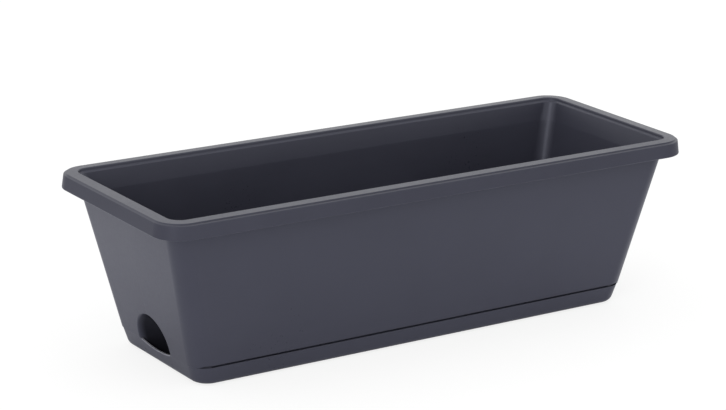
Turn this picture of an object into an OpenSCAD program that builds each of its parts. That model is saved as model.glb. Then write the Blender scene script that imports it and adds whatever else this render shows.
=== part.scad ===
// Self-watering window-box planter.
// A tapered trough stands on a shallow clip-on water tray. A half-round
// filler mouth is let into the left end of the trough, right above the
// tray's dipped overflow lip, and a dish behind it leads the water down.
// Inside, a perforated false floor carries the soil, three conical wick
// wells hang through it into the water, and each well has a cotton wick cord.
// Origin: middle of the footprint on the ground. +X along the length
// (the filler mouth is at -X), +Y across, +Z up. Millimetres.

/* [Trough] */
// Overall length over the rim
rim_l = 502; // [450:1:600]
// Overall width over the rim
rim_w = 188.5; // [178:0.5:220]
// Overall height from the ground to the top of the rim
height = 144; // [132:0.5:180]
// How much shorter the footprint is than the rim, end to end
end_taper = 89.5; // [80:0.5:100]
// How much narrower the footprint is than the rim, side to side
side_taper = 60.5; // [54:0.5:64]
// Wall thickness of the moulded shells
wall = 2.2; // [1.8:0.1:2.6]
// Height of the rolled rim's outer skirt
skirt_h = 13; // [10:0.5:16]
// How far the rim stands out from the wall under it
overhang = 13; // [12.4:0.2:14.4]
// How much further out the skirt's lower edge stands than its top corner
flare = 1.5; // [0.4:0.1:1.8]
// Corner radius of the rim, seen from above
rim_r = 24; // [22:0.5:27]

/* [Water tray] */
// Height of the tray's outer wall
tray_h = 15.3; // [14.5:0.1:17]
// Thickness of the tray's floor
tray_floor = 2.2; // [1.8:0.1:2.6]
// Depth of the hollow under the tray inside its foot ring
foot_recess = 1.4; // [1:0.1:1.8]
// Open seam between tray and trough along the long sides
seam_gap = 1.7; // [0.8:0.05:2]

/* [Filler mouth] */
// Radius of the half-round mouth
mouth_r = 24.4; // [20:0.2:26]
// How far the mouth's centre lies above the seam
mouth_rise = 3.5; // [1:0.1:5]
// How deep the scoop's dish is, square to the end wall
scoop_depth = 16; // [13:0.5:19]
// How far the tray's lip dips under the mouth
lip_dip = 3; // [2:0.1:4]

/* [False floor and wick wells] */
// Height of the ledge that carries the false floor
ledge_z = 26; // [24.5:0.5:30]
// Thickness of the false floor
grate_t = 2.4; // [2:0.1:3]
// Distance between neighbouring wick wells
well_pitch = 125; // [118:1:130]
// Radius of the hole for a wick well
well_r = 23; // [20:0.5:24]
// Radius of the drain holes in the false floor
drain_r = 2.4; // [1.5:0.1:2.8]
// Radius of a wick cord
cord_r = 2.6; // [2:0.1:2.8]

/* [Hidden] */
$fn = 64;

CORNER_FACETS = 8;                     // facets in each rounded corner
SMALL_FN = 32;                         // facets round a drain hole
SEAT = 0.05;                           // play where one part stands on another
SIDES = [-1, 1];

// Tapered box: footprint, and how its wall changes per millimetre of height
skirt_z = height - skirt_h;            // lower edge of the rim
foot_l = rim_l - end_taper;
foot_w = rim_w - side_taper;
foot_r = 16;                           // corner radius at the ground
skirt_corner_r = 15;                   // the wall's corner radius at skirt_z
slope_x = (rim_l / 2 - overhang - foot_l / 2) / skirt_z;
slope_y = (rim_w / 2 - overhang - foot_w / 2) / skirt_z;
slope_r = (skirt_corner_r - foot_r) / skirt_z;
end_lean = atan(slope_x);              // lean of the end walls
kink_z = height - 18.8;                // above this the inner wall leans out more

// Water tray
inner_floor = foot_recess + tray_floor;
guide_h = 6;                           // height of the tray's guide wall over the seam

// Filler scoop: a ball that meets the end wall in the round mouth
mouth_z = tray_h + mouth_rise;
dish_r = arc_radius(mouth_r, scoop_depth);
dish_x = -half_l(mouth_z) - (dish_r - scoop_depth) * cos(end_lean);
dish_z = mouth_z - (dish_r - scoop_depth) * sin(end_lean);
scoop_foot = inner_floor + 2.4;        // lower edge of the filler scoop
scoop_half_w = mouth_r + wall;

// False floor and wick wells
grate_z = ledge_z + SEAT;
well_top = grate_z + grate_t + SEAT;   // underside of a well's flange
well_foot = inner_floor + 1.2;         // underside of a wick well
flange_w = 5;                          // flange width outside the well's hole
flange_t = 1.6;
WELLS = [-well_pitch, 0, well_pitch];

anthracite = [0.29, 0.29, 0.32];
charcoal = [0.13, 0.13, 0.14];
cotton = [0.86, 0.83, 0.74];

// --- Shape of the tapered box ---

// Half-length, half-width and corner radius of the outer wall at height z.
function half_l(z) = foot_l / 2 + slope_x * z;
function half_w(z) = foot_w / 2 + slope_y * z;
function corner_r(z) = foot_r + slope_r * z;

// Radius of the arc with this half-chord and depth.
function arc_radius(half_chord, depth) =
    (pow(half_chord, 2) + pow(depth, 2)) / (2 * depth);

// One ring of points: a rounded rectangle given by its half-length,
// half-width and corner radius.
function ring(half_x, half_y, r, z) =
    [for (quarter = [0:3]) for (i = [0:CORNER_FACETS])
        let (angle = 90 * (quarter + i / CORNER_FACETS),
             side_x = (quarter == 0 || quarter == 3) ? 1 : -1,
             side_y = (quarter < 2) ? 1 : -1)
        [side_x * (half_x - r) + r * cos(angle),
         side_y * (half_y - r) + r * sin(angle), z]];

// A ring set in from the tapered outer wall, at height z.
function on_wall(inset, z) =
    ring(half_l(z) - inset, half_w(z) - inset, max(corner_r(z) - inset, 1), z);

// A ring set in from the rim's outer edge, by different insets at the ends
// and along the sides.
function on_rim_by(end_inset, side_inset, z) =
    ring(rim_l / 2 - end_inset, rim_w / 2 - side_inset,
         rim_r - (end_inset + side_inset) / 2, z);

// The same with one inset all round.
function on_rim(inset, z) = on_rim_by(inset, inset, z);

// Joins rings into one solid. A closed run makes a frame with no bottom;
// an open run is closed by its first and last rings.
module loft(rings, closed) {
    ring_n = len(rings[0]);
    rings_n = len(rings);
    last = closed ? rings_n - 1 : rings_n - 2;
    sides = [for (k = [0:last]) for (i = [0:ring_n - 1])
        let (next_i = (i + 1) % ring_n,
             this_ring = k * ring_n,
             next_ring = ((k + 1) % rings_n) * ring_n)
        each [[this_ring + i, next_ring + next_i, this_ring + next_i],
              [this_ring + i, next_ring + i, next_ring + next_i]]];
    caps = closed ? [] : [[for (i = [0:ring_n - 1]) i],
                          [for (i = [ring_n - 1:-1:0]) (rings_n - 1) * ring_n + i]];
    polyhedron(points = [for (r = rings) each r], faces = concat(sides, caps),
               convexity = 8);
}

// Everything on the inner side of a plane set in from the left end wall's
// outer face.
module behind_left_wall(inset) {
    translate([-foot_l / 2 + inset, -200, 0]) rotate([0, -end_lean, 0])
        cube([400, 400, 300]);
}

// --- Trough ---

ledge_inset = 10.5;                    // inner edge of the ledge, from the outer wall
ledge_t = 2;
cross_bar = [6, 5];                    // width, height
cross_bar_inset = 8;                   // from the outer wall at ledge height

// Wall, rolled rim and inner ledge, as one closed section around the box.
// Each entry is an inset and a height.
function trough_section() = [
    // up the outer wall and under the rolled rim
    on_wall(0, tray_h + SEAT),
    on_wall(0, skirt_z + 1),
    on_rim(overhang - 0.3, height - 5.7),
    on_rim(10.5, height - 3.2),
    on_rim(flare + 2.7, height - 3.8),
    on_rim(2.0, skirt_z),
    on_rim(0, skirt_z),
    // the skirt's top corner; a small step up to the land along the sides,
    // a plain shoulder at the ends
    on_rim(flare - 0.1, height - 2.4),
    on_rim_by(flare + 0.3, flare + 0.4, height - 1.65),
    on_rim_by(flare + 0.8, 3.9, height - 1.25),
    on_rim_by(3.2, 4.2, height - 0.5),
    on_rim_by(3.8, 4.5, height - 0.3),
    // land, inner step and the band above the kink
    on_rim(12.5, height),
    on_rim(13.1, height - 0.4),
    on_rim(13.5, height - 1.8),
    on_rim(14, height - 2.7),
    on_rim(14.9, height - 3),
    on_rim(15.5, height - 4),
    ring(half_l(kink_z) - wall - 3, half_w(kink_z) - wall - 2.1,
         corner_r(kink_z) - wall - 2, kink_z),
    // down the inner wall and round the ledge
    on_wall(wall, ledge_z + 1.4),
    on_wall(wall + 1.2, ledge_z),
    on_wall(ledge_inset, ledge_z),
    on_wall(ledge_inset, ledge_z - ledge_t),
    on_wall(wall, ledge_z - ledge_t),
    on_wall(wall, tray_h + SEAT)];

// The ball of the filler scoop's dish, grown outwards.
module dish(grow) {
    translate([dish_x, 0, dish_z]) sphere(r = dish_r + grow);
}

// The part of the scoop's ball behind the end wall, from height z up by h.
module scoop_part(inset, z, h) {
    intersection() {
        dish(wall);
        behind_left_wall(inset);
        translate([-rim_l / 2, -100, z]) cube([rim_l, 200, h]);
    }
}

// Cutters for the open seam along both long sides.
module seam_cuts() {
    end_inset = 7;
    cut_w = 16;
    below = 2;
    for (side = SIDES)
        translate([-foot_l / 2 + end_inset, side * half_w(tray_h) - cut_w / 2, tray_h - below])
            cube([foot_l - 2 * end_inset, cut_w, below + seam_gap]);
}

module trough() {
    color(anthracite)
    difference() {
        union() {
            loft(trough_section(), true);
            // scoop shell behind the filler mouth
            scoop_part(1, tray_h + SEAT, 100);
            // its lower part reaches down behind the tray's lip
            scoop_part(wall + 0.9, scoop_foot, tray_h + 1 - scoop_foot);
            // cross bars that carry the false floor between the wells
            for (x = [-well_pitch / 2, well_pitch / 2])
                translate([x - cross_bar[0] / 2, -half_w(ledge_z) + cross_bar_inset,
                           ledge_z - cross_bar[1]])
                    cube([cross_bar[0], 2 * (half_w(ledge_z) - cross_bar_inset), cross_bar[1]]);
        }
        dish(0);
        seam_cuts();
    }
}

// --- Water tray ---

foot_round = 6.5;                      // radius of the tray's rounded bottom edge
guide_outer = wall + 0.4;              // insets of the guide wall's two faces
guide_inner = wall + 2.1;
guide_top = tray_h + guide_h;

// From the middle of the underside, round the foot, up the outer wall, over
// the edge the trough stands on, up the guide wall and down to the inner floor.
// Each entry is an inset and a height.
function tray_section() = concat(
    [on_wall(12, foot_recess), on_wall(11.4, 0)],
    [for (a = [0:22.5:90])
        on_wall(1.5 + foot_round * (1 - sin(a)), foot_round * (1 - cos(a)))],
    [on_wall(0.5, tray_h),
     on_wall(guide_outer, tray_h),
     on_wall(guide_outer, guide_top - 0.8),
     on_wall(wall + 0.9, guide_top),
     on_wall(wall + 1.8, guide_top),
     on_wall(guide_inner, guide_top - 0.6),
     on_wall(guide_inner, tray_h - 3.8),
     on_wall(wall + 0.2, tray_h - 6.5),
     on_wall(wall + 0.2, inner_floor + 3.6),
     on_wall(wall + 1.2, inner_floor + 1.2),
     on_wall(wall + 3.6, inner_floor)]);

// Stiffening ribs in the hollow underside, two lengthwise and four across.
module tray_ribs() {
    rib_w = 2;
    rib_h = foot_recess + 0.2;
    rib_z = 0.3;
    inset = 11;
    for (y = [-22, 22])
        translate([-foot_l / 2 + inset, y - rib_w / 2, rib_z])
            cube([foot_l - 2 * inset, rib_w, rib_h]);
    for (k = [-1.5:1.5])
        translate([k * well_pitch - rib_w / 2, -foot_w / 2 + inset, rib_z])
            cube([rib_w, foot_w - 2 * inset, rib_h]);
}

// Cutters that shape the left end for the filler mouth.
module mouth_cuts() {
    lip_r = arc_radius(mouth_r, lip_dip);
    cut_x = -half_l(tray_h) - 20;
    cut_l = 34;
    gap = scoop_half_w + 1;
    // dipped overflow lip
    intersection() {
        translate([cut_x, 0, tray_h - lip_dip + lip_r]) rotate([0, 90, 0])
            cylinder(r = lip_r, h = 40, $fn = 128);
        translate([cut_x, -40, 0]) cube([40, 80, tray_h + 0.02]);
    }
    // behind the lip the wall is thin and the guide wall stops, for the scoop
    intersection() {
        behind_left_wall(wall - 0.4);
        translate([cut_x, -gap, 8]) cube([cut_l, 2 * gap, 40]);
    }
    translate([cut_x, -gap, tray_h]) cube([cut_l, 2 * gap, 20]);
}

// Grooves behind the edge, under the open seam of the long sides.
module groove_cuts() {
    groove_w = wall - 1;
    groove_y = half_w(tray_h) - 1.4 - groove_w / 2;
    end_inset = 12;
    for (side = SIDES)
        translate([-foot_l / 2 + end_inset, side * groove_y - groove_w / 2, tray_h - 3])
            cube([foot_l - 2 * end_inset, groove_w, 4]);
}

module water_tray() {
    color(anthracite)
    difference() {
        union() {
            loft(tray_section(), false);
            tray_ribs();
        }
        mouth_cuts();
        groove_cuts();
    }
}

// --- False floor ---

// A flat plate with rounded corners, given by its half-length and half-width.
module plate(half_x, half_y, r, z, h) {
    translate([-half_x + r, -half_y, z]) cube([2 * (half_x - r), 2 * half_y, h]);
    translate([-half_x, -half_y + r, z]) cube([2 * half_x, 2 * (half_y - r), h]);
    for (side_x = SIDES) for (side_y = SIDES)
        translate([side_x * (half_x - r), side_y * (half_y - r), z])
            cylinder(r = r, h = h);
}

// Cutters for a drain hole at every crossing of the given columns and rows.
module drain_cuts(columns, rows) {
    for (x = columns) for (y = rows)
        translate([x, y, grate_z - 1])
            cylinder(r = drain_r, h = grate_t + 2, $fn = SMALL_FN);
}

module separator_grate() {
    inset = wall + 1.9;
    half_x = half_l(ledge_z) - inset;
    half_y = half_w(ledge_z) - inset;
    notch = scoop_half_w + 0.8;
    notch_x = dish_x + dish_r + wall + 1;
    color(charcoal)
    difference() {
        union() {
            plate(half_x, half_y, corner_r(ledge_z) - inset, grate_z, grate_t);
            // seat rings around the wick wells
            for (x = WELLS) translate([x, 0, grate_z])
                cylinder(r = well_r + flange_w + 3, h = grate_t + flange_t);
            // stiffening ribs along the floor
            for (y = [-45, 45]) translate([notch_x, y - 1, grate_z])
                cube([half_x - 8 - notch_x, 2, grate_t + 3]);
        }
        // wells pass through; their flanges lie inside the seat rings
        for (x = WELLS) {
            translate([x, 0, grate_z - 1]) cylinder(r = well_r, h = grate_t + 4);
            translate([x, 0, grate_z + grate_t])
                cylinder(r = well_r + flange_w + 0.3, h = 6);
        }
        // clearance around the filler scoop
        translate([-half_x - 5, -notch, grate_z - 1])
            cube([notch_x + half_x + 5, 2 * notch, 12]);
        // long rows beside the wells, then short columns between and beyond them
        drain_cuts([for (k = [-9:9]) 20 * k], [-52, -37, 37, 52]);
        drain_cuts([for (k = SIDES) for (dx = [-12, 12]) k * well_pitch / 2 + dx],
                   [-18, 0, 18]);
        drain_cuts([-well_pitch - 45, well_pitch + 45, well_pitch + 62], [-18, 0, 18]);
    }
}

// --- Wick wells ---

module wick_well(x) {
    top_r = well_r - 0.5;
    base_r = well_r - 6;
    flange_r = well_r + flange_w;
    slot_w = 2.4;
    slot_margin = 4;                   // solid wall below and above a slot
    color(charcoal)
    translate([x, 0, 0])
    difference() {
        // cone with a flat flange: outside up, over the flange, inside down
        rotate_extrude()
            polygon([[0, well_foot], [base_r - 1, well_foot],
                     [base_r, well_foot + 1], [top_r, well_top],
                     [flange_r, well_top], [flange_r, well_top + 1.2],
                     [flange_r - 0.4, well_top + flange_t],
                     [top_r - 1.2, well_top + flange_t], [top_r - 2, well_top + 0.8],
                     [base_r - 1.6, well_foot + 1.8], [0, well_foot + 1.8]]);
        // upright slots let water through the wall
        for (k = [0:9]) rotate([0, 0, 36 * k + 18])
            translate([base_r - 4, -slot_w / 2, well_foot + slot_margin])
                cube([12, slot_w, well_top - well_foot - 2 * slot_margin]);
        // drain holes and the wick's hole in the foot
        for (k = [0:5]) rotate([0, 0, 60 * k])
            translate([base_r - 6.5, 0, well_foot - 1])
                cylinder(r = 1.8, h = 4, $fn = SMALL_FN);
        translate([0, 0, well_foot - 1]) cylinder(r = cord_r + 0.5, h = 4);
    }
}

// --- Wicks ---

// Cord that rises through a well, bends over its flange and runs level above
// the false floor; turn is its heading from +X.
module wick(x, turn) {
    bend_r = 10;
    run_l = 34;
    run_z = well_top + flange_t + cord_r + 0.2;
    low_z = inner_floor + 0.4;
    color(cotton)
    translate([x, 0, 0]) rotate([0, 0, turn]) {
        translate([0, 0, low_z]) cylinder(r = cord_r, h = run_z - bend_r - low_z);
        translate([bend_r, 0, run_z - bend_r]) rotate([90, 0, 0])
            rotate_extrude(angle = -90) translate([-bend_r, 0]) circle(r = cord_r);
        translate([bend_r, 0, run_z]) rotate([0, 90, 0]) cylinder(r = cord_r, h = run_l);
    }
}

module wick_well_left() { wick_well(WELLS[0]); }
module wick_well_centre() { wick_well(WELLS[1]); }
module wick_well_right() { wick_well(WELLS[2]); }
module wick_left() { wick(WELLS[0], 22); }
module wick_centre() { wick(WELLS[1], -38); }
module wick_right() { wick(WELLS[2], 200); }

trough();
water_tray();
separator_grate();
wick_well_left();
wick_well_centre();
wick_well_right();
wick_left();
wick_centre();
wick_right();
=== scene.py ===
"""A self-watering plant trough: a tapered box standing in a shallow water tray, with a
false floor, three wick wells and a cotton cord in each well.

It is long in X and narrow in Y, centred over the origin, with the tray's foot at z = 0.
The filling mouth is in the end wall at -X. Shapes are in millimetres until a mesh is
made; the camera, ground and light are in metres.
"""

import math

import bmesh
import bpy
import numpy as np
from mathutils import Matrix, Vector


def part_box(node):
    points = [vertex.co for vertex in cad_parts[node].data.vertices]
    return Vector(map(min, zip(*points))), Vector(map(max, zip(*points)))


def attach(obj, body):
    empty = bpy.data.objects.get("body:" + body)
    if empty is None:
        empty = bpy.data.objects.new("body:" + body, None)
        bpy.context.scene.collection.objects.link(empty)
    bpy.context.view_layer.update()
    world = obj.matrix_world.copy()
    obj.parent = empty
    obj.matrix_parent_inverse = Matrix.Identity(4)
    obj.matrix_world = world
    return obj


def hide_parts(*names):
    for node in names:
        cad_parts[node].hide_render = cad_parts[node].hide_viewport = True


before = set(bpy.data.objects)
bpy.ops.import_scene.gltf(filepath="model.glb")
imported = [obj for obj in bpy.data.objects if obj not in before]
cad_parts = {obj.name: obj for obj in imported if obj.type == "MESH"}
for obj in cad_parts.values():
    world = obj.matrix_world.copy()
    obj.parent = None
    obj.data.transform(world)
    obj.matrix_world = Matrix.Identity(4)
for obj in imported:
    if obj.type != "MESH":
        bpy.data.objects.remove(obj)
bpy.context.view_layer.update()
MM = 0.001

# ---------------------------------------------------------------- proportions


def upper_corner(node):
    """The upper corner of a CAD piece's box, in millimetres."""
    return [v * 1000 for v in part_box(node)[1]]


# Names that end in _X and _Y are half lengths and half widths.
RIM_X, RIM_Y, TOP = upper_corner("trough")
GRATE_X, GRATE_Y = upper_corner("separator_grate")[:2]
GUIDE_H = 6.0                       # the tray's guide wall above its outer edge
TRAY_TOP = upper_corner("water_tray")[2] - GUIDE_H
SEAM = TRAY_TOP + 0.05              # lower edge of the trough
SKIRT = TOP - 13.0                  # lower edge of the rim
OVERHANG = 13.0                     # of the rim, beyond the wall
RIM_R = 24.0
FOOT_X, FOOT_Y, FOOT_R = 206.25, 64.0, 16.0     # outer wall carried down to z = 0
SLOPE_X = (RIM_X - OVERHANG - FOOT_X) / SKIRT
SLOPE_Y = (RIM_Y - OVERHANG - FOOT_Y) / SKIRT
SLOPE_R = (15.0 - FOOT_R) / SKIRT
WALL = 2.2
FLOOR = 3.6                         # floor of the water tray
LEDGE = 26.0                        # ledge under the false floor
GRATE_Z, GRATE_T = LEDGE + 0.05, 2.4
GRATE_TOP = GRATE_Z + GRATE_T
GAP = 1.7                           # open seam along the long sides
WELLS = {"left": -125.0, "centre": 0.0, "right": 125.0}     # place along X
WELL_R, CORD_R = 23.0, 2.6
FLANGE_Z, FLANGE_T = GRATE_TOP + 0.05, 1.6      # flange of a wick well


def wall_x(z):
    return FOOT_X + SLOPE_X * z


def wall_y(z):
    return FOOT_Y + SLOPE_Y * z


def wall_r(z):
    return FOOT_R + SLOPE_R * z


# The mouth is a spherical dish sunk into the leaning end wall at -X.
MOUTH_R, MOUTH_Z, DISH_DEPTH = 24.4, TRAY_TOP + 3.5, 16.0
MOUTH_X = -wall_x(MOUTH_Z)
DISH_R = (MOUTH_R ** 2 + DISH_DEPTH ** 2) / (2 * DISH_DEPTH)
DISH_IN = DISH_DEPTH - DISH_R       # the sphere's centre, measured inwards from the wall
LEAN = math.atan(SLOPE_X)
COS_LEAN, SIN_LEAN = math.cos(LEAN), math.sin(LEAN)
LIP_DIP, LIP_WALL = 3.0, 2.1        # the tray's lip under the mouth
LIP_R = (MOUTH_R ** 2 + LIP_DIP ** 2) / (2 * LIP_DIP)

# ---------------------------------------------------------------- mesh tools


def smooth(t):
    """Eases from 0 to 1 while t runs from 0 to 1."""
    t = min(max(t, 0), 1)
    return t * t * (3 - 2 * t)


def rounded(section, closed):
    """Rounds a section's corners with true arcs and returns the rows of points.
    An entry is a point followed by rounding and segments; the section's plane is
    that of the point's first and last coordinates."""
    points = np.array([entry[:-2] for entry in section], float)
    last = len(points) - 1
    out = []
    for i, corner in enumerate(points):
        radius, segments = section[i][-2:]
        if radius <= 0 or (not closed and i in (0, last)):
            out.append(corner)
            continue
        edge0 = points[i - 1] - corner
        edge1 = points[(i + 1) % (last + 1)] - corner
        len0, len1 = np.hypot(edge0[0], edge0[-1]), np.hypot(edge1[0], edge1[-1])
        cosine = (edge0[0] * edge1[0] + edge0[-1] * edge1[-1]) / (len0 * len1)
        half = (math.pi - math.acos(max(-1, min(1, cosine)))) / 2
        cut = min(radius * math.tan(half), 0.48 * len0, 0.48 * len1)
        start, end = corner + edge0 / len0 * cut, corner + edge1 / len1 * cut
        weight = math.cos(half)
        for k in range(segments + 1):
            t = k / segments
            k0, k1, k2 = (1 - t) ** 2, 2 * t * (1 - t) * weight, t * t
            out.append((k0 * start + k1 * corner + k2 * end) / (k0 + k1 + k2))
    return np.array(out)


def grid(rows, cols, start=0, wrap_rows=False, wrap_cols=True):
    """Quads between rows of points."""
    faces = []
    for k in range(rows if wrap_rows else rows - 1):
        row, above = start + k * cols, start + (k + 1) % rows * cols
        for i in range(cols if wrap_cols else cols - 1):
            j = (i + 1) % cols
            faces.append((row + i, row + j, above + j, above + i))
    return faces


def tube(rows, cols, start=0):
    """Quads round a tube, and a cap on each end."""
    end = start + rows * cols
    return grid(rows, cols, start) + [tuple(reversed(range(start, start + cols))),
                                      tuple(range(end - cols, end))]


def linked(name, mesh):
    ob = bpy.data.objects.new(name, mesh)
    bpy.context.scene.collection.objects.link(ob)
    return ob


def mesh_object(name, verts, faces):
    mesh = bpy.data.meshes.new(name)
    mesh.from_pydata([(x * MM, y * MM, z * MM) for x, y, z in verts], [], faces)
    bm = bmesh.new()
    bm.from_mesh(mesh)
    bmesh.ops.remove_doubles(bm, verts=bm.verts, dist=2e-6)
    bmesh.ops.dissolve_degenerate(bm, edges=bm.edges, dist=1e-6)
    bmesh.ops.recalc_face_normals(bm, faces=bm.faces)
    bm.to_mesh(mesh)
    bm.free()
    return linked(name, mesh)


def evaluated_mesh(ob):
    depsgraph = bpy.context.evaluated_depsgraph_get()
    return bpy.data.meshes.new_from_object(ob.evaluated_get(depsgraph))


def boolean(ob, tool, operation):
    """Applies an exact boolean and removes the tool."""
    mod = ob.modifiers.new("bool", "BOOLEAN")
    mod.operation, mod.solver, mod.object = operation, "EXACT", tool
    mesh = evaluated_mesh(ob)
    ob.modifiers.clear()
    ob.data = mesh
    bpy.data.objects.remove(tool)


def finish_shape(ob, angle=32, weighted=True):
    ob.data.shade_smooth()
    ob.data.set_sharp_from_angle(angle=math.radians(angle))
    if weighted:
        mod = ob.modifiers.new("normals", "WEIGHTED_NORMAL")
        mod.keep_sharp = True
        mod.weight = 60
    return ob


# Stations along a long side, as shares of its straight run.
LONG = [-0.992, -0.975, -0.955, -0.93, -0.86, -0.7, -0.5, -0.25, 0,
        0.25, 0.5, 0.7, 0.86, 0.93, 0.955, 0.975, 0.992]
CORNER_STEPS = 16


def ring(half_x, half_y, radius, end_y):
    """Points round a rounded rectangle, anticlockwise from the +X side.
    end_y holds the stations across the end at -X."""
    flat_x, flat_y = half_x - radius, half_y - radius
    runs = ([(-f * flat_x, half_y) for f in LONG],
            [(-half_x, -y) for y in end_y],
            [(f * flat_x, -half_y) for f in LONG],
            [(half_x, f * flat_y) for f in (-0.5, 0, 0.5)])
    points = []
    for quarter, (sign_x, sign_y) in enumerate(((1, 1), (-1, 1), (-1, -1), (1, -1))):
        for i in range(CORNER_STEPS + 1):
            t = math.pi / 2 * (quarter + i / CORNER_STEPS)
            points.append((sign_x * flat_x + radius * math.cos(t),
                           sign_y * flat_y + radius * math.sin(t)))
        points += runs[quarter]
    return points


def lofted(name, section, shape, closed, end_y=(-30, 0, 30)):
    """Carries a section round the box; shape adjusts each point."""
    rows = rounded(section, closed)
    verts = [shape(x, y, z, half_x, half_y) for half_x, half_y, radius, z in rows
             for x, y in ring(half_x, half_y, max(radius, 0.3), end_y)]
    cols = len(verts) // len(rows)
    faces = grid(len(rows), cols, wrap_rows=True) if closed else tube(len(rows), cols)
    return mesh_object(name, verts, faces)


def leaned(point, origin_x, origin_z):
    """Places a point given as (inwards, across, up) square to the leaning end wall."""
    x, y, z = point
    return (origin_x + COS_LEAN * x - SIN_LEAN * z, y,
            origin_z + SIN_LEAN * x + COS_LEAN * z)


def turned(name, row, steps):
    """A solid turned about the end wall's normal through the mouth.
    row holds (radius, depth) points that start and end on the axis."""
    verts = []
    for i in range(steps):
        t = 2 * math.pi * i / steps
        verts += [leaned((depth, radius * math.cos(t), radius * math.sin(t)), MOUTH_X, MOUTH_Z)
                  for radius, depth in row]
    return mesh_object(name, verts, grid(steps, len(row), wrap_rows=True, wrap_cols=False))


def slab(name, low, high, lean_from=None):
    """A block, leaned like the end wall about x = lean_from where that is given."""
    verts = [(x, y, z) for x in (low[0], high[0]) for y in (low[1], high[1])
             for z in (low[2], high[2])]
    if lean_from is not None:
        verts = [leaned(v, lean_from, 0) for v in verts]
    return mesh_object(name, verts, [(0, 1, 3, 2), (4, 6, 7, 5), (0, 4, 5, 1),
                                     (2, 3, 7, 6), (0, 2, 6, 4), (1, 5, 7, 3)])


def upright(name, section, steps, centre_x=0.0):
    """A solid turned about an upright axis. section holds (radius, z, rounding)."""
    rows = rounded([(*entry, 4) for entry in section], True)
    verts = []
    for i in range(steps):
        t = 2 * math.pi * i / steps
        verts += [(centre_x + r * math.cos(t), r * math.sin(t), z) for r, z in rows]
    faces = grid(steps, len(rows), wrap_rows=True)
    return mesh_object(name, verts, [(a, d, c, b) for a, b, c, d in faces])


# Section points for lofted: (half length, half width, corner radius, z, rounding, segments)


def on_wall(inset, z, rounding=0.0, segments=4):
    """A point set in from the tapered outer wall."""
    return (wall_x(z) - inset, wall_y(z) - inset, max(wall_r(z) - inset, 0.6),
            z, rounding, segments)


def on_rim_uneven(end_inset, side_inset, z, rounding, segments):
    """A point set in from the rim's outer edge, differently at ends and long sides."""
    return (RIM_X - end_inset, RIM_Y - side_inset, RIM_R - (end_inset + side_inset) / 2,
            z, rounding, segments)


def on_rim(inset, z, rounding, segments):
    return on_rim_uneven(inset, inset, z, rounding, segments)


# ---------------------------------------------------------------- the trough


def seam_relief(x, y, z, _half_x, _half_y):
    """The lower edge steps up along the long sides, which leaves the open seam."""
    if z < SEAM + 1.0 and abs(y) > 50:
        z += GAP * smooth((206.0 - abs(x)) / 5.0)
    return x, y, z


# Above this row the inner wall leans out more: the wall is 3.0 mm thicker here at
# the ends and 2.1 mm thicker along the sides.
KINK_Z = TOP - 18.8
KINK = (wall_x(KINK_Z) - WALL - 3.0, wall_y(KINK_Z) - WALL - 2.1,
        wall_r(KINK_Z) - WALL - 2.0, KINK_Z, 22.0, 6)
TROUGH_SECTION = [
    # outer wall, and the underside and lower edge of the rim
    on_wall(0, SEAM, 0.4, 3), on_wall(0, SKIRT + 1.0, 3, 2),
    on_rim(OVERHANG - 0.3, TOP - 5.7, 1.0, 3), on_rim(10.5, TOP - 3.2, 1.0, 3),
    on_rim(4.2, TOP - 3.8, 1.4, 4), on_rim(2.0, SKIRT, 0.5, 3), on_rim(0.0, SKIRT, 0.8, 4),
    # the skirt's top corner; a small step up to the land along the sides, a
    # plain shoulder at the ends; the land
    on_rim(1.5, TOP - 1.75, 0.8, 6), on_rim_uneven(2.3, 3.9, TOP - 1.3, 0.3, 3),
    on_rim_uneven(3.4, 4.2, TOP - 0.35, 0.5, 5), on_rim(13.2, TOP, 1.0, 6),
    # inner wall, down to the ledge and below it
    on_rim(13.6, TOP - 2.6, 0.9, 5), on_rim(15.3, TOP - 3.2, 1.3, 6),
    KINK, on_wall(WALL, LEDGE, 1.6, 4), on_wall(10.5, LEDGE, 0.4, 2),
    on_wall(10.5, LEDGE - 2, 0.4, 2), on_wall(WALL, LEDGE - 2, 0.8, 2),
    on_wall(WALL, SEAM, 0.4, 2)]


def scoop_shell():
    """The dish's wall, clipped to the inside of the end wall and clear of the tray."""
    row = []
    for k in range(41):
        a = math.pi * k / 40
        row.append(((DISH_R + WALL) * math.sin(a), DISH_IN - (DISH_R + WALL) * math.cos(a)))
    row[0], row[-1] = (0.0, row[0][1]), (0.0, row[-1][1])
    shell = turned("scoop_shell", row, 96)
    boolean(shell, slab("clip_a", (0, -100, -60), (200, 100, 200), -FOOT_X + 1.0), "INTERSECT")
    boolean(shell, slab("clip_b", (-300, -100, FLOOR + 2.4), (300, 100, 200)), "INTERSECT")
    tray_side = slab("clip_c", (-260, -100, -40), (-wall_x(SEAM) + WALL + 0.9, 100, SEAM))
    boolean(shell, tray_side, "DIFFERENCE")
    return shell


def scoop_cut():
    """The dish's hollow. Its mouth rolls into the end wall with a fillet, which
    starts a little proud of the wall so that it crosses it cleanly."""
    fillet, proud, outside = 2.0, 0.02, -30.0
    roll_r = math.sqrt((DISH_R + fillet) ** 2 - (fillet - DISH_IN) ** 2)
    # from the fillet's centre to the dish's
    fillet_end = math.atan2(DISH_IN - fillet, -roll_r)
    row = [(0.0, outside), (roll_r, outside)]
    for k in range(9):
        a = -math.pi / 2 + (fillet_end - -math.pi / 2) * k / 8
        row.append((roll_r + fillet * math.cos(a), fillet - proud + fillet * math.sin(a)))
    dish_start = math.atan2(row[-1][0], row[-1][1] - DISH_IN)
    for k in range(1, 25):
        a = dish_start * (1 - k / 24)
        row.append((DISH_R * math.sin(a), DISH_IN + DISH_R * math.cos(a)))
    row[-1] = (0.0, row[-1][1])
    return turned("scoop_cut", row, 128)


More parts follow.
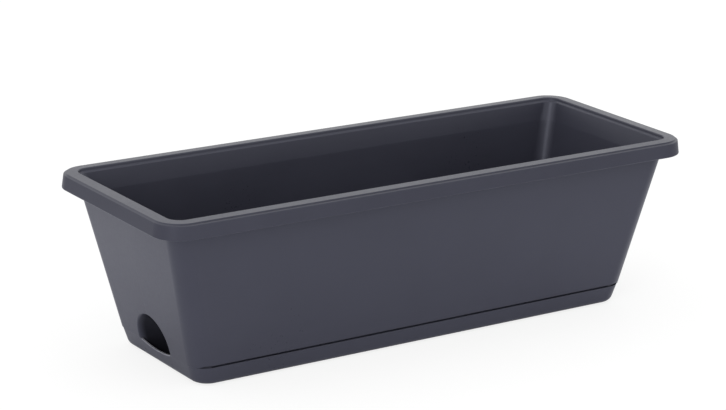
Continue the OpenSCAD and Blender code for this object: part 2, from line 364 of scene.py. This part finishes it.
def mark_dish_painted_shade(ob):
    """Marks where shade is painted in the dish, from 0 at its mouth to 1 deep and low inside."""
    co = np.empty(len(ob.data.vertices) * 3)
    ob.data.vertices.foreach_get("co", co)
    co = co.reshape(-1, 3) / MM
    centre = leaned((DISH_IN, 0, 0), MOUTH_X, MOUTH_Z)
    off = np.abs(np.linalg.norm(co - centre, axis=1) - DISH_R)
    depth = (co[:, 0] - MOUTH_X) * COS_LEAN + (co[:, 2] - MOUTH_Z) * SIN_LEAN
    low = np.clip((MOUTH_Z + 18 - co[:, 2]) / 22, 0, 1)
    dish_shade = np.where(off < 0.12, np.clip((depth - 0.4) / 4.5, 0, 1) * (0.78 + 0.22 * low), 0)
    ob.data.attributes.new("dish", "FLOAT", "POINT").data.foreach_set("value", dish_shade)


def build_trough():
    ob = lofted("trough_shell", TROUGH_SECTION, seam_relief, closed=True)
    boolean(ob, scoop_shell(), "UNION")
    boolean(ob, scoop_cut(), "DIFFERENCE")
    # cross bars under the false floor
    bar_y = wall_y(LEDGE) - 8
    for x in (-62.5, 62.5):
        bar = slab("bar", (x - 3, -bar_y, LEDGE - 5), (x + 3, bar_y, LEDGE - 0.02))
        boolean(ob, bar, "UNION")
    finish_shape(ob)
    # painted shade inside the dish: the mask that darkens it
    mark_dish_painted_shade(ob)
    return ob


trough = build_trough()

# ---------------------------------------------------------------- the water tray

GROOVE_Z = TRAY_TOP - 0.01          # the section's row that sinks into a groove
# Stations across the end at -X, close together under the mouth.
TRAY_END_Y = ([-44, -38, -34, -31, -29, -28, -27.6, -26] + list(range(-25, 26))
              + [26, 27.6, 28, 29, 31, 34, 38, 44])
TRAY_SECTION = [
    # underside, foot and outer wall
    on_wall(18, 1.4), on_wall(12, 1.4, 0.5, 2), on_wall(11.4, 0, 0.5, 3),
    on_wall(1.5, 0, 7.0, 10), on_wall(0.5, TRAY_TOP, 0.35, 3),
    # the edge and the groove row
    on_wall(1.3, TRAY_TOP, 0.2, 2), on_wall(1.4, GROOVE_Z), on_wall(WALL + 0.35, GROOVE_Z),
    # the guide wall inside the trough
    on_wall(WALL + 0.4, TRAY_TOP), on_wall(WALL + 0.4, TRAY_TOP + GUIDE_H, 0.6, 3),
    on_wall(WALL + 2.1, TRAY_TOP + GUIDE_H, 0.6, 3), on_wall(WALL + 2.1, TRAY_TOP - 3, 1.5, 3),
    # inner wall and floor
    on_wall(WALL, TRAY_TOP - 6, 1.5, 3), on_wall(WALL, FLOOR, 2.6, 5), on_wall(18, FLOOR)]


def tray_relief(x, y, z, half_x, half_y):
    """The lip dips under the mouth, the guide wall stops on both sides of it,
    and a groove runs behind the tray's edge along the long sides."""
    if abs(z - GROOVE_Z) < 0.002 and abs(y) > 50:
        z -= 3.2 * smooth((205.0 - abs(x)) / 5.0)
    if abs(y) > 50 and z > TRAY_TOP - 3.4 and half_y < wall_y(z) - WALL - 0.3:
        y -= math.copysign(1.4 * smooth((204.0 - abs(x)) / 5.0), y)
    if x < -150 and abs(y) < 29 and z > 7:
        inset = wall_x(z) - half_x
        if abs(y) < 27.8:
            z, inset = min(z, TRAY_TOP), min(inset, LIP_WALL)
        dip = max(LIP_DIP - (LIP_R - math.sqrt(LIP_R ** 2 - y * y)), 0.0)
        z -= dip * smooth((z - 7) / 6.0)
        x = -(wall_x(z) - inset)
    return x, y, z


def build_tray():
    ob = lofted("water_tray_shell", TRAY_SECTION, tray_relief, closed=False, end_y=TRAY_END_Y)
    # ribs on the underside, along and across
    ribs = [((-195, y - 1, 0.3), (195, y + 1, 1.8)) for y in (-22, 22)]
    ribs += [((x - 1, -52.8, 0.35), (x + 1, 52.8, 1.7)) for x in (-187.5, -62.5, 62.5, 187.5)]
    for low, high in ribs:
        boolean(ob, slab("rib", low, high), "UNION")
    return finish_shape(ob)


tray = build_tray()

# ---------------------------------------------------------------- the false floor


def circle(x, y, r, n=28):
    """Each circle starts at its own angle, so that no two have points in one line."""
    k0 = (0.3719 * x + 0.6173 * y + 0.21) % 1
    angles = [2 * math.pi * (k + k0) / n for k in range(n)]
    return [(x + r * math.cos(a), y + r * math.sin(a)) for a in angles]


def flat_plate(name, loops, z, thick, edge):
    """A flat plate with holes, every edge rounded."""
    curve = bpy.data.curves.new(name, "CURVE")
    curve.dimensions, curve.fill_mode = "2D", "BOTH"
    curve.extrude = (thick / 2 - edge) * MM
    curve.bevel_depth, curve.offset = edge * MM, -edge * MM
    curve.bevel_resolution = 2
    for loop in loops:
        spline = curve.splines.new("POLY")
        spline.points.add(len(loop) - 1)
        for point, (x, y) in zip(spline.points, loop):
            point.co = (x * MM, y * MM, 0, 1)
        spline.use_cyclic_u = True
    drawn = linked(name, curve)
    mesh = evaluated_mesh(drawn)
    bpy.data.objects.remove(drawn)
    bm = bmesh.new()
    bm.from_mesh(mesh)
    bmesh.ops.remove_doubles(bm, verts=bm.verts, dist=2e-6)
    bmesh.ops.translate(bm, verts=bm.verts, vec=(0, 0, (z + thick / 2) * MM))
    bmesh.ops.recalc_face_normals(bm, faces=bm.faces)
    bm.to_mesh(mesh)
    bm.free()
    return linked(name, mesh)


def drafted_rib(name, x0, x1, y, z0, z1, w):
    """A drafted rib along X with a rounded top and sloping ends."""
    profile = [(-w / 2 - 0.25, z0), (-w / 2, z1 - w * 0.45), (-w * 0.35, z1 - w * 0.15),
               (-w * 0.15, z1), (w * 0.15, z1), (w * 0.35, z1 - w * 0.15),
               (w / 2, z1 - w * 0.45), (w / 2 + 0.25, z0)]
    verts = []
    for x, inwards in ((x0, 1), (x1, -1)):
        verts += [(x + inwards * 0.35 * (z - z0), y + dy, z) for dy, z in profile]
    n = len(profile)
    faces = grid(2, n) + [tuple(range(n)), tuple(reversed(range(n, 2 * n)))]
    return mesh_object(name, verts, faces)


def build_grate():
    notch_y = MOUTH_R + WALL + 0.8      # the notch at -X clears the dish
    notch_x = MOUTH_X + DISH_IN * COS_LEAN + DISH_R + WALL + 1
    corner = wall_r(LEDGE) - WALL - 1.9
    # (x, y, rounding)
    outline = [(notch_x, -notch_y, 3), (-GRATE_X, -notch_y, 2), (-GRATE_X, -GRATE_Y, corner),
               (GRATE_X, -GRATE_Y, corner), (GRATE_X, GRATE_Y, corner),
               (-GRATE_X, GRATE_Y, corner), (-GRATE_X, notch_y, 2), (notch_x, notch_y, 3)]
    drains = [(20.0 * k, y) for y in (-52, -37, 37, 52) for k in range(-9, 10)]
    drains += [(x + dx, y) for x in (-62.5, 62.5) for y in (-18, 0, 18) for dx in (-12, 12)]
    drains += [(x, y) for y in (-18, 0, 18) for x in (-170, 170, 187)]
    loops = [[(x, y) for x, y in rounded([(*entry, 8) for entry in outline], True)]]
    loops += [circle(x, y, 2.4) for x, y in drains]
    loops += [circle(x, 0, WELL_R, 96) for x in WELLS.values()]
    ob = flat_plate("false_floor_plate", loops, GRATE_Z, GRATE_T, edge=0.45)
    # a raised ring round each well's flange
    for x in WELLS.values():
        seat = upright("seat", [
            (WELL_R + 5.3, GRATE_TOP - 0.8, 0), (WELL_R + 5.3, GRATE_TOP + 1.6, 0.5),
            (WELL_R + 8, GRATE_TOP + 1.6, 0.7), (WELL_R + 8.2, GRATE_TOP + 0.35, 0.4),
            (WELL_R + 8.8, GRATE_TOP - 0.02, 0), (WELL_R + 8.8, GRATE_TOP - 0.8, 0)], 96, x)
        boolean(ob, seat, "UNION")
    for y in (-45, 45):
        long_rib = drafted_rib("rib", notch_x, GRATE_X - 8, y,
                               GRATE_TOP - 0.6, GRATE_TOP + 3.0, 2.0)
        boolean(ob, long_rib, "UNION")
    return finish_shape(ob)


grate = build_grate()

# ---------------------------------------------------------------- the wick wells


def prisms(name, shapes):
    """Straight prisms in one mesh, each a loop of points and the way it is drawn out."""
    verts, faces = [], []
    for loop, (dx, dy, dz) in shapes:
        faces += tube(2, len(loop), len(verts))
        verts += loop + [(x + dx, y + dy, z + dz) for x, y, z in loop]
    return mesh_object(name, verts, faces)


def wick_well(name):
    """A tapered cup about x = 0, with slots in its side and holes in its floor."""
    foot, floor_t = FLOOR + 1.2, 1.8
    top_r, foot_r, hole_r = WELL_R - 0.5, WELL_R - 6, CORD_R + 0.5
    ob = upright(name, [
        (hole_r, foot, 0.3), (foot_r, foot, 1.3), (top_r, FLANGE_Z, 0.6),
        (WELL_R + 5, FLANGE_Z, 0.35), (WELL_R + 5, FLANGE_Z + FLANGE_T, 0.6),
        (top_r - 1.0, FLANGE_Z + FLANGE_T, 1.0), (foot_r - 1.7, foot + floor_t, 1.4),
        (hole_r, foot + floor_t, 0.3)], 120)
    slot_r = 1.2                        # half a slot's width
    low, high = foot + 4, FLANGE_Z - 4
    slot = []                           # (across, z) round an upright slot
    for centre_z, start in ((high - slot_r, 0), (low + slot_r, math.pi)):
        for i in range(9):
            t = start + math.pi * i / 8
            slot.append((slot_r * math.cos(t), centre_z + slot_r * math.sin(t)))
    inner = foot_r - 5                  # where the slot cutters start
    cuts = []
    for k in range(10):
        a = math.radians(36 * k + 18)
        c, s = math.cos(a), math.sin(a)
        cuts.append(([(inner * c - v * s, inner * s + v * c, z) for v, z in slot],
                     (13 * c, 13 * s, 0)))
    for k in range(6):
        a = math.radians(60 * k)
        hole = circle((foot_r - 6.5) * math.cos(a), (foot_r - 6.5) * math.sin(a), 1.8, 24)
        cuts.append(([(x, y, foot - 1) for x, y in hole], (0, 0, 5)))
    boolean(ob, prisms("cuts", cuts), "DIFFERENCE")
    return finish_shape(ob)


wells = {"left": wick_well("wick_well_moulding_left")}
unmoved = wells["left"].data.copy()
for side in ("centre", "right"):
    wells[side] = finish_shape(linked("wick_well_moulding_" + side, unmoved.copy()))
for side, x in WELLS.items():
    wells[side].data.transform(Matrix.Translation((x * MM, 0, 0)))

# ---------------------------------------------------------------- the wick cords
# Braided cotton cord: eight strands each way round a soft core. Every strand's
# rise and fall over its neighbours is in the mesh.

CORD_LOW = FLOOR + 0.55
RUN_Z = FLANGE_Z + FLANGE_T + CORD_R + 0.2      # middle line where it lies over the flange
BEND = 10.0                         # radius of the bend from upright to level
CORD_RISE = RUN_Z - BEND - CORD_LOW
BEND_LENGTH = BEND * math.pi / 2
CORD_LENGTH = CORD_RISE + BEND_LENGTH + 30.2
CORD_ROWS, CORD_COLS = 330, 80
STRANDS, PITCH = 8, 2.35            # strands each way, rise per strand spacing
YARNS, YARN_SEGMENTS, YARN_SIDES = 46, 6, 5
YARN_ROOT = 1.4                     # a yarn starts this far inside the cord's end


def cord_path(u):
    """Middle line of a cord, u along it: (out from the well, aside, z)."""
    if u < CORD_RISE:
        return 0.0, 0.0, CORD_LOW + u
    if u < CORD_RISE + BEND_LENGTH:
        a = (u - CORD_RISE) / BEND
        return BEND - BEND * math.cos(a), 0.0, RUN_Z - BEND + BEND * math.sin(a)
    out = BEND + u - CORD_RISE - BEND_LENGTH
    aside = 0.55 * math.sin((out - BEND) * 0.19) * min((out - BEND) / 10, 1)
    return out, aside, RUN_Z - 1.72 * smooth((out - 29) / 12.0)


def unit(vectors):
    return vectors / np.linalg.norm(vectors, axis=1)[:, None]


def braid_height(along, angle):
    """How high the upper strand stands at each point, from 0 to 1."""
    one_way = STRANDS * angle / (2 * math.pi) + along / PITCH
    other_way = STRANDS * angle / (2 * math.pi) - along / PITCH

    def strand(place, crossing, sign):
        number = np.floor(place)
        part = place - number
        over = sign * np.where(number % 2 == 0, 1, -1) * np.sin(math.pi * crossing)
        plump = np.sin(math.pi * part) ** 0.55 * (1 + 0.07 * np.cos(6 * math.pi * part))
        return plump * (0.5 + 0.5 * over)

    return np.maximum(strand(one_way, other_way, 1), strand(other_way, one_way, -1))


def end_round(distance, reach):
    """Narrows the cord within reach of an end."""
    return np.sqrt(np.clip(1 - (1 - np.clip(distance / reach, 0, 1)) ** 2, 0.0004, 1))


def cord(name, centre_x, turn, seed):
    """A cord that leaves its well at turn degrees from +X and frays at its free end."""
    rng = np.random.default_rng(seed)
    us = np.linspace(0, CORD_LENGTH, CORD_ROWS)
    middle = np.array([cord_path(u) for u in us])
    tangent = unit(np.gradient(middle, axis=0))
    normal = unit(np.cross(np.array([0, 1.0, 0]), tangent))
    across = np.cross(tangent, normal)
    around = np.linspace(0, 2 * math.pi, CORD_COLS, endpoint=False)
    along, angle = np.meshgrid(us, around, indexing="ij")
    swell = 0.03 * np.sin(us * 0.55 + seed) + 0.02 * np.sin(us * 1.7 + 2 * seed)
    radius = CORD_R - 0.62 + 0.56 * braid_height(along, angle) + swell[:, None] * 0.8
    radius = radius * (end_round(us, 0.9) * end_round(CORD_LENGTH - us, 0.7))[:, None]
    surface = middle[:, None, :] + radius[..., None] * (
        np.cos(angle)[..., None] * normal[:, None, :]
        + np.sin(angle)[..., None] * across[:, None, :])
    c, s = math.cos(math.radians(turn)), math.sin(math.radians(turn))

    def place(v):
        return (centre_x + c * v[0] - s * v[1], s * v[0] + c * v[1], v[2])

    verts = [place(v) for v in surface.reshape(-1, 3)]
    faces = tube(CORD_ROWS, CORD_COLS)

    # frayed free end: thin curling yarns
    tip, out, up, aside = middle[-1], tangent[-1], normal[-1], across[-1]
    for _ in range(YARNS):
        a = rng.uniform(0, 2 * math.pi)
        from_middle = 1.75 * math.sqrt(rng.uniform(0, 1))
        radial = math.cos(a) * up + math.sin(a) * aside
        root = tip - out * YARN_ROOT + from_middle * radial
        length = rng.uniform(2.6, 4.3)
        thick = rng.uniform(0.10, 0.16)
        spread = rng.uniform(0.15, 0.55) * radial
        curl = rng.normal(0, 0.12, 3)
        faces += tube(YARN_SEGMENTS + 1, YARN_SIDES, len(verts))
        for m in range(YARN_SEGMENTS + 1):
            t = m / YARN_SEGMENTS
            centre = (root + out * (YARN_ROOT + length) * t
                      + spread * 1.2 * t * t * length / 2 + curl * t ** 3 * length)
            centre[2] = max(centre[2], GRATE_TOP + 0.3)
            yarn_r = thick * (1 - 0.75 * t)
            for k in range(YARN_SIDES):
                g = 2 * math.pi * k / YARN_SIDES
                verts.append(place(centre + yarn_r * (math.cos(g) * up + math.sin(g) * aside)))
    return finish_shape(mesh_object(name, verts, faces), angle=60, weighted=False)


CORD_TURNS = {"left": 22, "centre": -38, "right": 200}
cords = {side: cord("wick_cord_" + side, WELLS[side], turn, seed)
         for seed, (side, turn) in enumerate(CORD_TURNS.items())}

# ---------------------------------------------------------------- materials


class Surface:
    """A material round one Principled shader, with short calls for its nodes."""

    def __init__(self, name):
        self.material = bpy.data.materials.new(name)
        self.material.use_nodes = True
        self.tree = self.material.node_tree
        self.tree.nodes.clear()
        output = self.add("OutputMaterial")
        self.shader = self.add("BsdfPrincipled")
        self.feed(output.inputs[0], self.shader.outputs[0])

    def feed(self, socket, value):
        """Links a socket to another, or sets its value."""
        if isinstance(value, bpy.types.NodeSocket):
            self.tree.links.new(value, socket)
        elif socket.type == "RGBA":
            socket.default_value = (*value, 1.0)
        else:
            socket.default_value = value

    def add(self, kind, inputs={}):
        node = self.tree.nodes.new("ShaderNode" + kind)
        for key, value in inputs.items():
            self.feed(node.inputs[key], value)
        return node

    def shade(self, inputs):
        for key, value in inputs.items():
            self.feed(self.shader.inputs[key], value)

    def base_colour(self):
        return self.shader.inputs["Base Color"].links[0].from_socket

    def object_coords(self):
        return self.add("TexCoord").outputs["Object"]

    def stretched(self, coords, scale):
        return self.add("Mapping", {"Vector": coords, "Scale": scale}).outputs[0]

    def noise(self, coords, scale, detail, roughness, distortion=0.0):
        return self.add("TexNoise", {
            "Vector": coords, "Scale": scale, "Detail": detail,
            "Roughness": roughness, "Distortion": distortion}).outputs["Fac"]

    def remap(self, value, low, high, to_low=0.0, to_high=1.0):
        return self.add("MapRange", {
            "Value": value, "From Min": low, "From Max": high,
            "To Min": to_low, "To Max": to_high}).outputs["Result"]

    def math(self, operation, a, b=0.0, clamp=False):
        node = self.add("Math", {0: a, 1: b})
        node.operation, node.use_clamp = operation, clamp
        return node.outputs[0]

    def mix(self, factor, a, b, mode="MIX"):
        node = self.add("Mix")
        node.data_type, node.blend_type = "RGBA", mode
        # the factor and the two colour sockets
        for index, value in ((0, factor), (6, a), (7, b)):
            self.feed(node.inputs[index], value)
        return node.outputs[2]

    def bump(self, height, distance, strength):
        return self.add("Bump", {"Height": height, "Distance": distance, "Strength": strength})


def scaled(colour, factor):
    return [v * factor for v in colour]


def moulded_plastic(name, base, roughness, grain=1.0, dust=0.12):
    """Injection-moulded plastic: spark-eroded grain, faint flow clouding, light scuffs."""
    tint = (1.05, 1.04, 1.02)           # warms the flow clouding
    gloss = (0.93, 0.95, 1.12)          # cools the reflections
    s = Surface(name)
    coords = s.object_coords()
    cloud = s.noise(coords, scale=9.0, detail=3.0, roughness=0.55, distortion=0.3)
    flow = s.noise(s.stretched(coords, (6.0, 6.0, 40.0)),
                   scale=3.0, detail=3.0, roughness=0.5, distortion=0.6)
    fine = s.noise(coords, scale=1500.0, detail=2.0, roughness=0.6)
    medium = s.noise(coords, scale=420.0, detail=3.0, roughness=0.6)
    colour = s.mix(s.remap(cloud, low=0.35, high=0.65), scaled(base, 0.94), scaled(base, 1.06))
    colour = s.mix(s.remap(flow, low=0.35, high=0.7, to_high=0.35),
                   colour, [v * t for v, t in zip(base, tint)])
    colour = s.mix(s.remap(fine, low=0.3, high=0.7, to_high=dust), colour, scaled(base, 1.6))
    broad = s.remap(cloud, low=0.3, high=0.7, to_low=roughness - 0.035, to_high=roughness + 0.035)
    local = s.remap(medium, low=0.3, high=0.7, to_low=-0.03, to_high=0.03)
    grain_bump = s.bump(fine, distance=0.00004 * grain, strength=0.35)
    cloud_bump = s.bump(cloud, distance=0.00025 * grain, strength=0.10)
    s.feed(cloud_bump.inputs["Normal"], grain_bump.outputs[0])
    s.shade({"Base Color": colour, "Roughness": s.math("ADD", broad, local), "IOR": 1.49,
             "Specular Tint": gloss, "Normal": cloud_bump.outputs[0]})
    return s


def paint_dish_shade(s):
    """Painted shade inside the dish: a darker colour and weaker reflections there."""
    attribute = s.add("Attribute")
    attribute.attribute_name = "dish"
    dish_shade = attribute.outputs["Fac"]
    base = s.base_colour()
    # painted shade: the colour multiplied down and the reflections weakened inside the dish
    shaded_colour = s.mix(1.0, base, (0.22, 0.22, 0.22), "MULTIPLY")
    s.shade({"Base Color": s.mix(dish_shade, base, shaded_colour),
             "Specular IOR Level": s.remap(dish_shade, low=0, high=1, to_low=0.5, to_high=0.07)})


def paint_lip_highlight(s):
    """A painted highlight on the lip's edge: a fine pale line that follows the dip.
    Places are in metres."""
    coords = s.object_coords()
    x, y, z = s.add("SeparateXYZ", {0: coords}).outputs
    sag = s.math("DIVIDE", s.math("MULTIPLY", y, y), 2 * LIP_R * MM)
    edge = s.math("SUBTRACT", z, s.math("ADD", sag, (TRAY_TOP - LIP_DIP) * MM))
    patches = s.noise(coords, scale=700.0, detail=3.0, roughness=0.6)
    lip_highlight = s.remap(edge, low=-0.0011, high=-0.0004)
    for limit in (s.remap(x, low=-0.196, high=-0.197),
                  s.remap(s.math("ABSOLUTE", y), low=0.0225, high=0.0245,
                          to_low=1.0, to_high=0.0),
                  s.remap(patches, low=0.3, high=0.6, to_low=0.55)):
        lip_highlight = s.math("MULTIPLY", lip_highlight, limit)
    # painted highlight: a paler colour in a thin line along the lip's edge
    s.shade({"Base Color": s.mix(lip_highlight, s.base_colour(), (0.26, 0.26, 0.29))})


def cotton_yarn(name):
    """Undyed cotton: warm off-white, with fine fibres, a soft sheen and painted shade in the
    furrows."""
    dull, pale, fibre_tip = (0.62, 0.56, 0.43), (0.76, 0.71, 0.59), (0.82, 0.78, 0.68)
    brown_fleck, furrow_shade = (0.34, 0.26, 0.15), (0.33, 0.28, 0.20)
    s = Surface(name)
    coords = s.object_coords()
    patch = s.noise(coords, scale=160.0, detail=3.0, roughness=0.6)
    fibre = s.noise(s.stretched(coords, (1.0, 1.0, 0.35)),
                    scale=5200.0, detail=3.0, roughness=0.65, distortion=0.8)
    fleck = s.noise(coords, scale=900.0, detail=2.0, roughness=0.5)
    colour = s.mix(s.remap(patch, low=0.3, high=0.7), dull, pale)
    colour = s.mix(s.remap(fibre, low=0.3, high=0.75, to_high=0.6), colour, fibre_tip)
    colour = s.mix(s.remap(fleck, low=0.66, high=0.74, to_high=0.5), colour, brown_fleck)
    pointiness = s.add("NewGeometry").outputs["Pointiness"]
    # painted shade: a darker colour where the braid's surface is hollow
    colour = s.mix(s.remap(pointiness, low=0.44, high=0.52), furrow_shade, colour)
    s.shade({"Base Color": colour, "Roughness": 0.92, "Specular IOR Level": 0.25,
             "Sheen Weight": 0.35, "Sheen Roughness": 0.5,
             "Normal": s.bump(fibre, distance=0.00008, strength=0.6).outputs[0]})
    return s


ANTHRACITE = (0.0355, 0.036, 0.050)
CHARCOAL = (0.022, 0.022, 0.024)
shell_plastic = moulded_plastic("anthracite_shell", ANTHRACITE, roughness=0.33)
tray_plastic = moulded_plastic("anthracite_tray", ANTHRACITE, roughness=0.33)
charcoal = moulded_plastic("charcoal_plastic", CHARCOAL, roughness=0.5, grain=1.4, dust=0.3)
# painted shade inside the dish
paint_dish_shade(shell_plastic)
# painted highlight along the tray's lip
paint_lip_highlight(tray_plastic)
cotton = cotton_yarn("cotton_cord")


def assign(ob, surface, part, cad_piece):
    """Gives an object its material and moving part, and hides the CAD piece it replaces."""
    ob.data.materials.clear()
    ob.data.materials.append(surface.material)
    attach(ob, part)
    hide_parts(cad_piece)


assign(trough, shell_plastic, "box", "trough")
assign(tray, tray_plastic, "tray", "water_tray")
assign(grate, charcoal, "grate", "separator_grate")
for side in WELLS:
    assign(wells[side], charcoal, "well_" + side, "wick_well_" + side)
    assign(cords[side], cotton, "well_" + side, "wick_" + side)

# ---------------------------------------------------------------- camera


def add_camera():
    azimuth, elevation, roll = (math.radians(v) for v in (-33.676, 16.658, 1.017))
    # place along the view's own right, up and back, in metres
    to_right, to_up, to_back = -0.011340, 0.095745, 2.158959
    back = Vector((math.sin(azimuth) * math.cos(elevation),
                   -math.cos(azimuth) * math.cos(elevation), math.sin(elevation)))
    right = (-back).cross(Vector((0, 0, 1))).normalized()
    up = right.cross(-back)
    right, up = (right * math.cos(roll) + up * math.sin(roll),
                 -right * math.sin(roll) + up * math.cos(roll))
    data = bpy.data.cameras.new("camera")
    camera = linked("camera", data)
    place = right * to_right + up * to_up + back * to_back
    camera.matrix_world = Matrix((*zip(right, up, back, place), (0, 0, 0, 1)))
    data.sensor_width = 36.0
    data.sensor_fit = "HORIZONTAL"
    data.lens = 128.764413
    data.clip_end = 50
    bpy.context.scene.camera = camera


add_camera()

# ---------------------------------------------------------------- ground and light


def ground_surface():
    """Near white to the camera; to other rays a pale ground that darkens far out."""
    near, far, seen = (0.88, 0.885, 0.935), (0.36, 0.36, 0.38), (0.25, 0.25, 0.25)
    s = Surface("floor")
    camera_ray = s.add("LightPath").outputs["Is Camera Ray"]
    distance = s.add("VectorMath", {0: s.add("NewGeometry").outputs["Position"]})
    distance.operation = "LENGTH"
    far_out = s.remap(distance.outputs["Value"], low=0.38, high=0.95)
    away = s.math("SUBTRACT", far_out, camera_ray, clamp=True)
    s.shade({"Roughness": 1.0, "Specular IOR Level": 0.0,
             "Base Color": s.mix(camera_ray, s.mix(away, near, far), seen),
             "Emission Color": (1, 1, 0.995),
             "Emission Strength": s.remap(camera_ray, low=0, high=1, to_low=0.04, to_high=0.79)})
    return s


def add_ground():
    half, z = 12, -0.0004               # just below the tray's foot
    mesh = bpy.data.meshes.new("floor")
    mesh.from_pydata([(-half, -half, z), (half, -half, z), (half, half, z), (-half, half, z)],
                     [], [(0, 1, 2, 3)])
    ob = linked("floor", mesh)
    mesh.materials.append(ground_surface().material)


def add_key_light():
    """A square lamp beyond the mouth's end, on the -Y side."""
    place, target = Vector((-2.05, -1.35, 1.0)), Vector((0, 0, 0.08))
    data = bpy.data.lights.new("key", "AREA")
    data.shape, data.size, data.size_y = "RECTANGLE", 1.0, 1.0
    data.energy, data.color = 9, (1, 1, 1)
    ob = linked("key", data)
    ob.location = place
    ob.rotation_euler = (target - place).to_track_quat("-Z", "Y").to_euler()


def add_world():
    """White to the camera, a slightly cool white to every other ray."""
    world = bpy.data.worlds.new("studio")
    bpy.context.scene.world = world
    world.use_nodes = True
    nodes, links = world.node_tree.nodes, world.node_tree.links
    nodes.clear()
    output = nodes.new("ShaderNodeOutputWorld")
    seen = nodes.new("ShaderNodeBackground")
    lighting = nodes.new("ShaderNodeBackground")
    mixer = nodes.new("ShaderNodeMixShader")
    for background, colour in ((seen, (1, 1, 1, 1)), (lighting, (0.985, 0.99, 1, 1))):
        background.inputs["Color"].default_value = colour
        background.inputs["Strength"].default_value = 1.0
    light_path = nodes.new("ShaderNodeLightPath")
    links.new(light_path.outputs["Is Camera Ray"], mixer.inputs[0])
    links.new(lighting.outputs[0], mixer.inputs[1])
    links.new(seen.outputs[0], mixer.inputs[2])
    links.new(mixer.outputs[0], output.inputs[0])


add_ground()
add_key_light()
bpy.context.scene.view_settings.view_transform = "Standard"
bpy.context.scene.view_settings.look = "None"
add_world()
